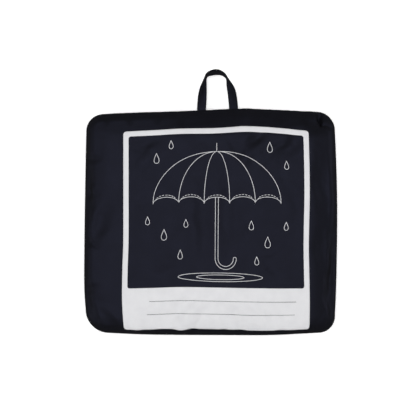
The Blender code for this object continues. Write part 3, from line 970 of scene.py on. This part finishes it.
# Raindrops. Columns: place, height.
Drop = namedtuple("Drop", "x y height")
DROPS = (
    Drop(-66, 70, 11),
    Drop(-50, 84, 9),
    Drop(58, 80, 11),
    Drop(76, 62, 9),
    Drop(-76, 2, 9),
    Drop(-58, -14, 12),
    Drop(-34, -2, 9),
    Drop(-40, -36, 10),
    Drop(38, -4, 10),
    Drop(56, -22, 12),
    Drop(76, -4, 9),
    Drop(44, -42, 9),
)
for drop in DROPS:
    points = []
    for angle in evenly(0.0, 360.0, DROP_STEPS)[:-1]:
        turn = math.radians(angle)
        width = drop.height * DROP_WIDTH * math.sin(turn) * math.sin(turn / 2) ** DROP_POINT
        points.append((drop.x + width, drop.y + drop.height / 2 * math.cos(turn)))
    stroke(points, closed=True)

# Puddle.
for radii in PUDDLE_RINGS:
    stroke(arc(PUDDLE_MIDDLE, radii, 0.0, 360.0)[:-1], closed=True)

print_on_front(strokes, INK_LIFT)
print_drawing = add_piece("print_drawing", strokes, white_ink)
add_wall(print_drawing, INK_THICKNESS)

# ----------------------------------------------
# Zip tapes. Two woven polyester tapes, one sewn behind the front's rolled edge and one behind the
# back's turned edge. They meet behind the teeth.
ZIP_REACH = 109.0 * MM
TAPE_INSET = 5.05 * MM
TAPE_WALL = 0.35 * MM
TapeSpan = namedtuple("TapeSpan", "low high")
TAPES = {
    "upper": TapeSpan(10.1 * MM, 16.2 * MM),
    "lower": TapeSpan(3.4 * MM, 9.9 * MM),
}
TAPE_COLUMNS, TAPE_ROWS = 150, 6


def zip_surface(x, z):
    return in_world(-x, HALF_LENGTH - TAPE_INSET, z)


black_tape = woven_material(
    "black_tape",
    dark=colour(27, 28, 33),
    light=colour(35, 36, 42),
    roughness=0.65,
    gloss=0.2,
    gloss_tint=(1.0, 1.0, 1.0, 1.0),
    threads=2200.0,
    weave_depth=0.08 * MM,
)
tape_columns = evenly(-ZIP_REACH, ZIP_REACH, TAPE_COLUMNS)
for side, span in TAPES.items():
    flat_tape = flat_grid(tape_columns, evenly(span.low, span.high, TAPE_ROWS))
    lay_on(flat_tape, zip_surface, [0.0] * len(flat_tape.verts))
    zip_tape = add_piece("zip_tape_" + side + "_cloth", flat_tape, black_tape)
    add_wall(zip_tape, TAPE_WALL)
    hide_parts("zip_tape_" + side)

# ----------------------------------------------
# Zip teeth. A nylon coil is sewn along the edge of each tape. The turns of the two are locked
# together, shut as far as the slider.
TOOTH_PITCH = 1.16 * MM
TOOTH_SIZE = (0.40 * MM, 0.52 * MM, 1.42 * MM)
TOOTH_INSET = 4.75 * MM
TOOTH_Z = {"lower": 9.3 * MM, "upper": 10.7 * MM}
TOOTH_LEAN = math.radians(8.0)
CHAIN_START, CHAIN_END = -105.8 * MM, 99.0 * MM
PLASTIC_ROUGHNESS_SPREAD = 0.15


def plastic_material(name, tone, roughness, gloss):
    material, nodes, shader = new_material(name)
    uneven = nodes.group(MOTTLE, Place=nodes.on_object(), Scale=900.0)
    bump = nodes.add("ShaderNodeBump", Height=uneven, Strength=0.2, Distance=0.05 * MM)
    nodes.set(
        shader,
        Base_Color=tone,
        Normal=bump.outputs[0],
        Roughness=nodes.sum("MULTIPLY_ADD", uneven, PLASTIC_ROUGHNESS_SPREAD, roughness),
        Specular_IOR_Level=gloss,
    )
    return material


nylon = plastic_material("nylon_coil", colour(32, 32, 36), roughness=0.35, gloss=0.45)
tooth = bmesh.new()
bmesh.ops.create_uvsphere(tooth, u_segments=8, v_segments=7, radius=1.0)
tooth_places = []
for side, lean, offset in (("lower", TOOTH_LEAN, 0.0), ("upper", -TOOTH_LEAN, TOOTH_PITCH / 2)):
    for step in range(int((CHAIN_END - CHAIN_START) / TOOTH_PITCH)):
        x = CHAIN_START + offset + step * TOOTH_PITCH
        here = in_world(x, HALF_LENGTH - TOOTH_INSET, TOOTH_Z[side])
        place = Matrix.Translation(here) @ Matrix.Rotation(lean, 4, "Y")
        tooth_places.append(place @ Matrix.Diagonal((*TOOTH_SIZE, 1.0)))
zip_teeth = add_piece("zip_coil", make_copies(tooth, tooth_places), nylon)
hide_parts("zip_chain")

# ----------------------------------------------
# Stitching along the zip: one row through the front's rolled edge and one through the back's
# turned edge. Each stitch is a short length of thread that sinks into the cloth at both ends.
STITCH_PITCH = 3.0 * MM
STITCH_HALF = 1.2 * MM
THREAD_RADIUS = 0.2 * MM
ROW_FROM_RIM = 2.0 * MM
FEEL = 0.3 * MM

thread = plastic_material("navy_thread", colour(24, 25, 33), roughness=0.7, gloss=0.1)


def stitch_row(surface, start, end, pitch=STITCH_PITCH, half=STITCH_HALF):
    """Places for a row of stitches on a surface, between two places on its flat cloth. How the
    surface lies under a stitch is felt a little way to each side of its middle."""
    start, end = Vector(start), Vector(end)
    forward = (end - start).normalized()
    places = []
    for step in range(int((end - start).length / pitch)):
        x, y = start + forward * pitch * (step + 0.5)
        run = forward * FEEL
        here = surface(x, y)
        along = (surface(x + run.x, y + run.y) - here).normalized()
        across = surface(x + FEEL, y) - surface(x - FEEL, y)
        up = across.cross(surface(x, y + FEEL) - surface(x, y - FEEL)).normalized()
        turn = Matrix((along, up.cross(along), up)).transposed().to_4x4()
        size = Matrix.Diagonal((half, THREAD_RADIUS, THREAD_RADIUS, 1.0))
        places.append(Matrix.Translation(here) @ turn @ size)
    return places


def make_stitches(places):
    stitch = bmesh.new()
    bmesh.ops.create_icosphere(stitch, subdivisions=2, radius=1.0)
    return make_copies(stitch, places)


front_row = front_reach[1] - ROW_FROM_RIM
back_row = back_reach[1] - ROW_FROM_RIM
zip_seams = stitch_row(front_surface, (-ROLL_FULL_TO, front_row), (ROLL_FULL_TO, front_row))
zip_seams += stitch_row(back_surface, (-ROLL_FULL_TO, back_row), (ROLL_FULL_TO, back_row))
zip_stitches = add_piece("zip_stitches", make_stitches(zip_seams), thread)

# ----------------------------------------------
# Zip slider. Two die-cast plates joined by a web at the nose, lacquered black, with a wire bridge
# on the outer plate for the pull tab. The tail end is narrower, where the joined teeth come out.
SLIDER_X = 98.0 * MM
SLIDER_LENGTH = 9.0 * MM
SLIDER_Z = 10.0 * MM
NOSE_HEIGHT, TAIL_SHARE = 8.0 * MM, 0.76
OUTER_PLATE = (2.8 * MM, 4.0 * MM)
INNER_PLATE = (6.3 * MM, 7.3 * MM)
WEB = (1.8 * MM, 3.4 * MM)
WEB_X = 3.2 * MM
PLATE_BEVEL = 0.35 * MM
WIRE = 0.42 * MM
BRIDGE_HALF = 1.6 * MM
BRIDGE_TOP = 0.85 * MM
BRIDGE_BEND = 0.9 * MM
SHARP_ANGLE = math.radians(40.0)
LACQUER_ROUGHNESS, LACQUER_ROUGHNESS_SPREAD = 0.22, 0.3

slider_here = in_world(SLIDER_X, HALF_LENGTH, SLIDER_Z)
slider_ahead = in_world(SLIDER_X + SLIDER_LENGTH, HALF_LENGTH, SLIDER_Z)
slider_turn = math.atan2(slider_ahead.y - slider_here.y, slider_ahead.x - slider_here.x)
slider_place = Matrix.Translation(slider_here) @ Matrix.Rotation(slider_turn, 4, "Z")


def lacquer_material(name, tone, rubbed):
    """Black lacquer on cast zinc, a little rubbed."""
    material, nodes, shader = new_material(name)
    uneven = nodes.group(MOTTLE, Place=nodes.on_object(), Scale=700.0)
    nodes.set(
        shader,
        Base_Color=nodes.mix(uneven, tone, rubbed),
        Roughness=nodes.sum("MULTIPLY_ADD", uneven, LACQUER_ROUGHNESS_SPREAD, LACQUER_ROUGHNESS),
        Metallic=0.6,
    )
    return material


lacquer = lacquer_material("black_lacquer", colour(34, 34, 38), rubbed=colour(78, 78, 84))


def edges_at(verts):
    return list(dict.fromkeys(edge for vert in verts for edge in vert.link_edges))


def cast_block(shape, x, insets, size_x, size_z, tail_share=1.0):
    """A cast plate with its tail end made narrower and its edges rounded."""
    made = bmesh.ops.create_cube(shape, size=1.0)["verts"]
    size = Matrix.Diagonal((size_x, insets[1] - insets[0], size_z, 1.0))
    middle = Matrix.Translation((x, -(insets[0] + insets[1]) / 2, 0.0))
    bmesh.ops.transform(shape, matrix=middle @ size, verts=made)
    for vert in made:
        if vert.co.x < x:
            vert.co.z *= tail_share
    round_off(shape, edges_at(made), PLATE_BEVEL, segments=3)


slider = bmesh.new()
cast_block(slider, 0.0, OUTER_PLATE, SLIDER_LENGTH, NOSE_HEIGHT, TAIL_SHARE)
cast_block(slider, 0.0, INNER_PLATE, SLIDER_LENGTH, NOSE_HEIGHT, TAIL_SHARE)
cast_block(slider, WEB_X, (OUTER_PLATE[1] - PLATE_BEVEL, INNER_PLATE[0] + PLATE_BEVEL), *WEB)

# Bridge: a ring of wire drawn up from its foot, spun round each bend and down again.
foot = -OUTER_PLATE[0] - WIRE
flat_ring = Matrix.Translation((-BRIDGE_HALF, foot, 0.0)) @ Matrix.Rotation(-math.pi / 2, 4, "X")
ring = bmesh.ops.create_circle(
    slider, cap_ends=True, segments=12, radius=WIRE, matrix=flat_ring
)["verts"]
bend_y = -BRIDGE_TOP - BRIDGE_BEND


def edges_among(items):
    return [item for item in items if isinstance(item, bmesh.types.BMEdge)]


def draw_out(shape, edges, move):
    """Draws a wall from a ring of edges, and gives the ring at its far end."""
    made = bmesh.ops.extrude_edge_only(shape, edges=edges)["geom"]
    verts = [item for item in made if isinstance(item, bmesh.types.BMVert)]
    bmesh.ops.translate(shape, verts=verts, vec=move)
    return [edge for edge in edges_among(made) if set(verts).issuperset(edge.verts)]


def bend_wire(edges, centre):
    spun = bmesh.ops.spin(
        slider,
        geom=edges,
        cent=centre,
        axis=(0.0, 0.0, 1.0),
        angle=-math.pi / 2,
        steps=5,
        use_duplicate=False,
    )
    return edges_among(spun["geom_last"])


edge_loop = draw_out(slider, edges_at(ring), (0.0, bend_y - foot, 0.0))
edge_loop = bend_wire(edge_loop, (-BRIDGE_HALF + BRIDGE_BEND, bend_y, 0.0))
edge_loop = draw_out(slider, edge_loop, (2 * (BRIDGE_HALF - BRIDGE_BEND), 0.0, 0.0))
edge_loop = bend_wire(edge_loop, (BRIDGE_HALF - BRIDGE_BEND, bend_y, 0.0))
edge_loop = draw_out(slider, edge_loop, (0.0, foot - bend_y, 0.0))
bmesh.ops.holes_fill(slider, edges=edge_loop, sides=0)
bmesh.ops.recalc_face_normals(slider, faces=slider.faces)
bmesh.ops.transform(slider, matrix=slider_place, verts=slider.verts)
slider_body = add_piece("slider_body", slider, lacquer)
slider_body.data.set_sharp_from_angle(angle=SHARP_ANGLE)
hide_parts("zip_slider")

# ----------------------------------------------
# Pull tab. A stamped tab, lacquered as the slider is, with a window for the bridge and a sunk
# grip on each face. It swings about the bar at its windowed end.
PULL_INSET = 2.05 * MM
PULL_THICKNESS = 1.0 * MM
PULL_LENGTH = 24.0 * MM
PULL_HALF_HEIGHT = 2.5 * MM
PULL_BAR = 0.45 * MM
PULL_WINDOW_HALF = 1.5 * MM
PULL_WINDOW_LENGTH = 2.6 * MM
PULL_ROUND = 2.4 * MM
PULL_EDGE = 0.2 * MM
GRIP_RIM = 0.85 * MM
GRIP_CORNER = 0.6 * MM
GRIP_DEPTH = 0.2 * MM
WELD = 0.001 * MM

# Half of the tab: its face with the window cut out, the grip sunk in it, and the walls down to
# its middle.
tab = bmesh.new()
tab_edge = rounded_outline(
    tab, -PULL_LENGTH, PULL_BAR, -PULL_HALF_HEIGHT, PULL_HALF_HEIGHT, PULL_ROUND, PULL_BAR
)
window_edge = rounded_outline(
    tab, -PULL_WINDOW_LENGTH, -PULL_BAR, -PULL_WINDOW_HALF, PULL_WINDOW_HALF, PULL_EDGE
)
grip_right, grip_top = -PULL_WINDOW_LENGTH - GRIP_RIM, PULL_HALF_HEIGHT - GRIP_RIM
grip_edge = rounded_outline(
    tab,
    GRIP_RIM - PULL_LENGTH,
    grip_right,
    -grip_top,
    grip_top,
    PULL_ROUND - GRIP_RIM,
    GRIP_CORNER,
)
bmesh.ops.triangle_fill(
    tab, edges=tab_edge + window_edge + grip_edge, use_beauty=True, normal=(0.0, 0.0, 1.0)
)
grip_floor = draw_out(tab, grip_edge, (0.0, 0.0, -GRIP_DEPTH))
bmesh.ops.holes_fill(tab, edges=grip_floor, sides=0)
for rim in (tab_edge, window_edge):
    draw_out(tab, rim, (0.0, 0.0, -PULL_THICKNESS / 2))
bmesh.ops.translate(tab, verts=tab.verts, vec=(0.0, 0.0, PULL_THICKNESS / 2))
everything = tab.verts[:] + tab.edges[:] + tab.faces[:]
bmesh.ops.mirror(tab, geom=everything, merge_dist=WELD, axis="Z")
bmesh.ops.remove_doubles(tab, verts=tab.verts, dist=WELD)
bmesh.ops.recalc_face_normals(tab, faces=tab.faces)
rims = []
grip_far, grip_side = grip_right + WELD, grip_top + WELD
for edge in tab.edges:
    in_grip = all(vert.co.x < grip_far and abs(vert.co.y) < grip_side for vert in edge.verts)
    if edge.calc_face_angle(0.0) > SHARP_ANGLE and not in_grip:
        rims.append(edge)
round_off(tab, rims, PULL_EDGE, segments=2)
upright = Matrix.Translation((0.0, -PULL_INSET, 0.0)) @ Matrix.Rotation(math.pi / 2, 4, "X")
tab_place = slider_place @ upright
bmesh.ops.transform(tab, matrix=tab_place, verts=tab.verts)
pull_tab = add_piece("pull_tab_cast", tab, lacquer, body="pull_tab")
pull_tab.data.set_sharp_from_angle(angle=SHARP_ANGLE)
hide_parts("zip_pull")

# ----------------------------------------------
# Carrying loop. A strip of the pouch's cloth folded into a flat band with its edges turned in and
# a row of stitches along each. Its two ends are caught in the seam over the zip.
LOOP_WIDTH = 10.0 * MM
LOOP_THICKNESS = 1.1 * MM
LOOP_LENGTH = 118.0 * MM

# Its middle line, in millimetres and degrees: the turn stands it on its edge.
LoopPoint = namedtuple("LoopPoint", "x y z turn")
LOOP_LINE = (
    LoopPoint(-10.1, 118.4, 14.9, 0),
    LoopPoint(-10.1, 127, 14.8, 0),
    LoopPoint(-9.6, 136, 13.7, 6),
    LoopPoint(-8.9, 145, 12.3, 30),
    LoopPoint(-7.8, 152.5, 10.9, 54),
    LoopPoint(-5.9, 160, 9.6, 76),
    LoopPoint(-1.6, 164.9, 8.6, 55),
    LoopPoint(6.2, 166.8, 8.2, 48),
    LoopPoint(13.2, 164.8, 8.6, 62),
    LoopPoint(18.4, 159.4, 9.6, 76),
    LoopPoint(21.2, 152, 10.9, 46),
    LoopPoint(23.2, 144.6, 12.2, 20),
    LoopPoint(24.4, 136, 13.6, 4),
    LoopPoint(25.2, 127, 14.8, 0),
    LoopPoint(25.2, 119.4, 14.9, 0),
)
LOOP_ROW = 3.7 * MM
LOOP_STITCH_PITCH = 2.4 * MM
LOOP_STITCH_HALF = 0.95 * MM
LOOP_FACE = 0.4 * MM
LOOP_COLUMNS, LOOP_ROWS = 16, 160
LOOP_STEP = 0.01
TURNED_EDGE = 0.4 * MM
GROOVE_HALF, GROOVE_HEIGHT, GROOVE_RUN_OUT = 1.3, -0.15, 400.0


def on_loop_line(share):
    """The middle line at a share of its points: its place, and its turn on its edge."""
    last = len(LOOP_LINE) - 1
    place = min(max(share, 0.0), 1.0) * last
    row = min(int(place), last - 1)
    near = [Vector(LOOP_LINE[min(max(row + step, 0), last)]) for step in (-1, 0, 1, 2)]
    t = place - row
    found = 0.5 * (
        2.0 * near[1]
        + (near[2] - near[0]) * t
        + (2.0 * near[0] - 5.0 * near[1] + 4.0 * near[2] - near[3]) * t**2
        + (3.0 * near[1] - near[0] - 3.0 * near[2] + near[3]) * t**3
    )
    return found.xyz * MM, math.radians(found.w)


def loop_surface(side, along):
    share = along / LOOP_LENGTH
    here, turned = on_loop_line(share)
    run = on_loop_line(share + LOOP_STEP)[0] - on_loop_line(share - LOOP_STEP)[0]
    across = run.cross(Vector((0.0, 0.0, 1.0))).normalized()
    up = across.cross(run).normalized()
    edge = across * math.cos(turned) + up * math.sin(turned)
    return here + edge * side + Vector((0.0, POUCH_Y, 0.0))


flat_loop = flat_grid(
    evenly(-LOOP_WIDTH / 2, LOOP_WIDTH / 2, LOOP_COLUMNS), evenly(0.0, LOOP_LENGTH, LOOP_ROWS)
)
groove_start, groove_end = -GROOVE_RUN_OUT, LOOP_LENGTH / MM + GROOVE_RUN_OUT
stitch_grooves = [
    Crease((side, groove_start), (side, groove_end), GROOVE_HALF, GROOVE_HEIGHT)
    for side in (-LOOP_ROW / MM, LOOP_ROW / MM)
]
loop_reach = (LOOP_WIDTH / 2 + SEAM_HOLD, LOOP_LENGTH + SEAM_HOLD)
lay_on(flat_loop, loop_surface, creased(flat_loop, stitch_grooves, loop_reach, straight_places))
loop_tape = add_piece("loop_tape", flat_loop, navy_taffeta)
add_wall(loop_tape, LOOP_THICKNESS, offset=0.0)
edge_round = loop_tape.modifiers.new("Turned edge", "BEVEL")
edge_round.width = TURNED_EDGE
edge_round.segments = 2
edge_round.limit_method = "ANGLE"
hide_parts("carry_loop")

loop_seams = []
for side in (-LOOP_ROW, LOOP_ROW):
    middle = stitch_row(
        loop_surface, (side, 0.0), (side, LOOP_LENGTH), LOOP_STITCH_PITCH, LOOP_STITCH_HALF
    )
    for face_lift in (-LOOP_FACE, LOOP_FACE):
        for place in middle:
            up = place.to_3x3().col[2].normalized()
            loop_seams.append(Matrix.Translation(up * face_lift) @ place)
loop_stitches = add_piece("loop_stitches", make_stitches(loop_seams), thread)

# ----------------------------------------------
# Floor, lights and camera. A white table between pale studio walls, four soft lights, and a
# camera straight above.
FLOOR_HALF = 3.0
FLOOR_Z = -0.5 * MM

floor_shape = bmesh.new()
bmesh.ops.create_grid(floor_shape, x_segments=1, y_segments=1, size=FLOOR_HALF)
bmesh.ops.translate(floor_shape, verts=floor_shape.verts, vec=(0.0, 0.0, FLOOR_Z))
floor = stand_in_scene("floor", floor_shape)
white_table, table_nodes, table_shader = new_material("white_table")
table_nodes.set(
    table_shader,
    Base_Color=(0.9, 0.9, 0.9, 1.0),
    Roughness=0.9,
    Specular_IOR_Level=0.0,
    Emission_Color=(1.0, 1.0, 1.0, 1.0),
    Emission_Strength=0.45,
)
floor.data.materials.append(white_table)
floor.visible_glossy = False

# Four soft lights: the strongest straight above, a weak one beside it, and a low one on each
# side.
SoftLight = namedtuple("SoftLight", "name place size power")
LIGHTS = (
    SoftLight("top_light", (0.0, 0.0, 2.3), 0.7, 27.0),
    SoftLight("beside_light", (-1.1, 0.0, 2.1), 0.6, 7.0),
    SoftLight("left_light", (-2.0, -0.6, 1.0), 0.8, 11.0),
    SoftLight("right_light", (2.0, 0.3, 1.0), 0.8, 14.0),
)
for light in LIGHTS:
    lamp = bpy.data.lights.new(light.name, "AREA")
    lamp.shape = "SQUARE"
    lamp.size = light.size
    lamp.energy = light.power
    stand = bpy.data.objects.new(light.name, lamp)
    stand.location = light.place
    stand.rotation_euler = Vector(light.place).to_track_quat("Z", "Y").to_euler()
    bpy.context.scene.collection.objects.link(stand)

# Pale studio walls: the sky is brighter low down all round than it is overhead.
WALL_GLOW = ((0.0, 0.1), (0.05, 0.6), (0.22, 0.5), (0.5, 0.06), (1.0, 0.05))

room = bpy.data.worlds.new("studio_room")
room.use_nodes = True
room_nodes = Nodes(room.node_tree)
upward = room_nodes.add("ShaderNodeTexCoord").outputs["Generated"]
height = room_nodes.add("ShaderNodeSeparateXYZ", Vector=upward).outputs["Z"]
glow = room_nodes.add("ShaderNodeValToRGB", Fac=height)
while len(glow.color_ramp.elements) < len(WALL_GLOW):
    glow.color_ramp.elements.new(1.0)
for stop, (place, strength) in zip(glow.color_ramp.elements, WALL_GLOW):
    stop.position = place
    stop.color = (strength, strength, strength, 1.0)
room_nodes.set(room.node_tree.nodes["Background"], Color=glow.outputs[0])
bpy.context.scene.world = room
bpy.context.scene.view_settings.view_transform = "Standard"
bpy.context.scene.view_settings.look = "None"

CAMERA_HEIGHT = 2.0
PICTURE_WIDTH = 0.465
PICTURE_MIDDLE = (-0.83 * MM, -8.6 * MM)
SENSOR = 36.0

lens = bpy.data.cameras.new("camera")
lens.sensor_width = SENSOR
lens.lens = SENSOR * (CAMERA_HEIGHT - SEAM_Z) / PICTURE_WIDTH
camera = bpy.data.objects.new("camera", lens)
camera.location = (*PICTURE_MIDDLE, CAMERA_HEIGHT)
bpy.context.scene.collection.objects.link(camera)
bpy.context.scene.camera = camera
